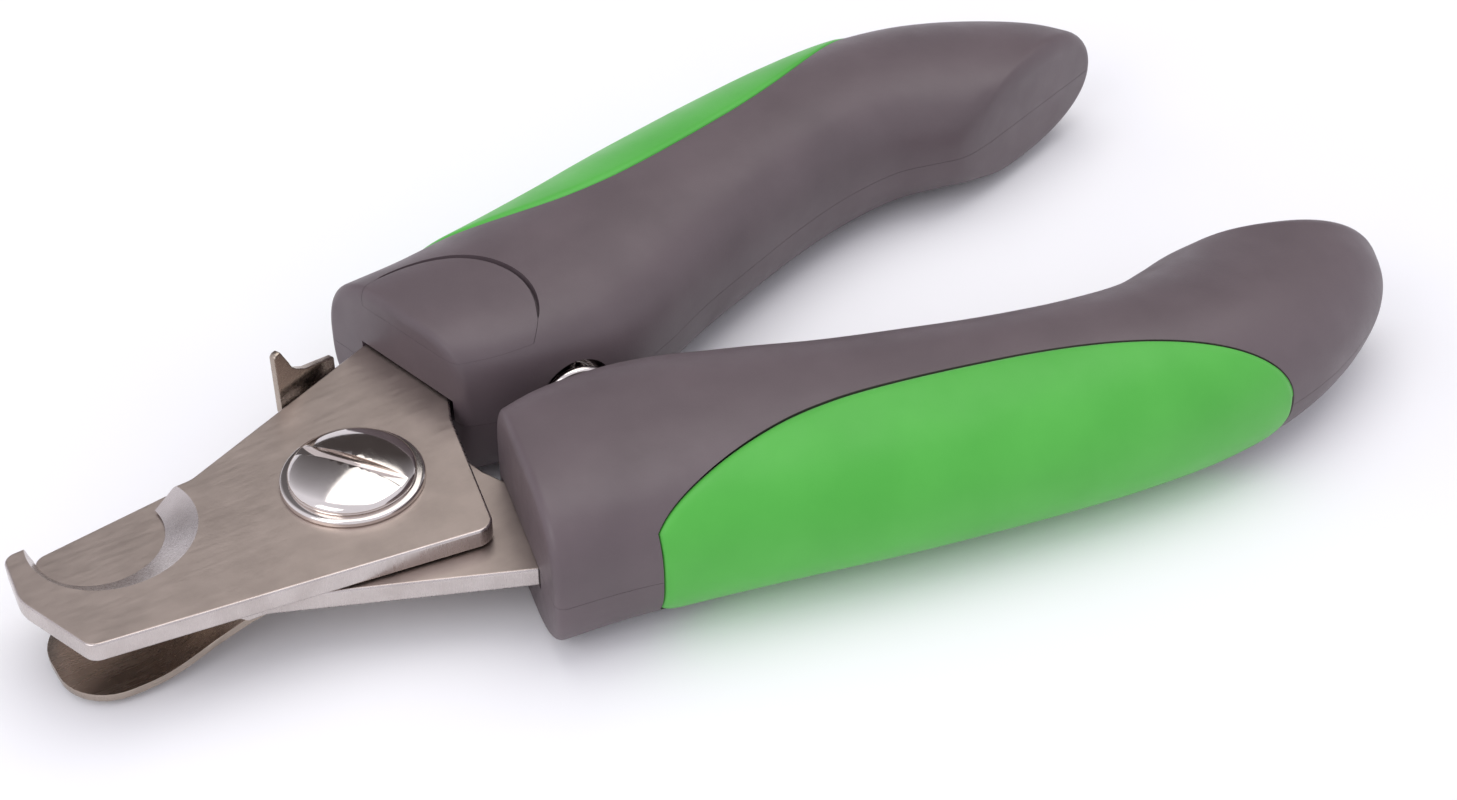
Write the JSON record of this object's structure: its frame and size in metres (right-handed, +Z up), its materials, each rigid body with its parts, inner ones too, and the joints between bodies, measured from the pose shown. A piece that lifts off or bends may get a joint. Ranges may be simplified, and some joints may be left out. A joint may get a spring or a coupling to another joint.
{
  "type": "pet nail clipper",
  "caption": "Plier-type pet nail clipper: two crossed steel blades with round notches on a pivot screw, a swing-away stop guard and long moulded handles with soft green inlays.",
  "frame": {"origin": "on the pivot screw's axis, at the screw's lower end, in the plane of the surface that the clipper lies on", "axes": "+X from the pivot towards the handles, with -X towards the cutting tips; +Y towards the handle that carries the upper blade; +Z up, along the pivot"},
  "size_m": [0.1422, 0.0774, 0.018],
  "materials": {
    "blade_steel": "satin bead-blasted stainless with bright ground edges",
    "bright_steel": "polished plated steel",
    "plain_steel": "plain turned steel",
    "handle_plastic": "fine matte moulded plastic, warm purple-grey",
    "soft_green": "soft matte thermoplastic rubber, green"
  },
  "bodies": {
    "far_half": {"upper_blade": "blade_steel", "pivot_screw": "bright_steel", "screw_collar": "bright_steel", "friction_washer": "plain_steel", "lock_nut": "bright_steel", "return_spring": "bright_steel", "far_handle_upper_shell": "handle_plastic", "far_handle_lower_shell": "handle_plastic", "far_tang_cover": "handle_plastic", "far_grip_inlay": "soft_green", "far_tang_pin_front": "plain_steel", "far_tang_pin_rear": "plain_steel"},
    "near_half": {"lower_blade": "blade_steel", "near_handle_upper_shell": "handle_plastic", "near_handle_lower_shell": "handle_plastic", "near_tang_cover": "handle_plastic", "near_grip_inlay": "soft_green", "near_tang_pin_front": "plain_steel", "near_tang_pin_rear": "plain_steel"},
    "guard": {"safety_guard": "blade_steel"}
  },
  "joints": [
    {"name": "handle_pivot", "type": "hinge", "parent": "far_half", "child": "near_half", "pos_m": [0, 0, 0.008], "axis": [0, 0, -1], "range_deg": [0, 20], "stiffness_Nm_per_rad": 0.35, "springref_deg": 24.06, "deforming": ["return_spring"]},
    {"name": "guard_swing", "type": "hinge", "parent": "far_half", "child": "guard", "pos_m": [0, 0, 0.0052], "axis": [0, 0, 1], "range_deg": [0, 35]}
  ]
}
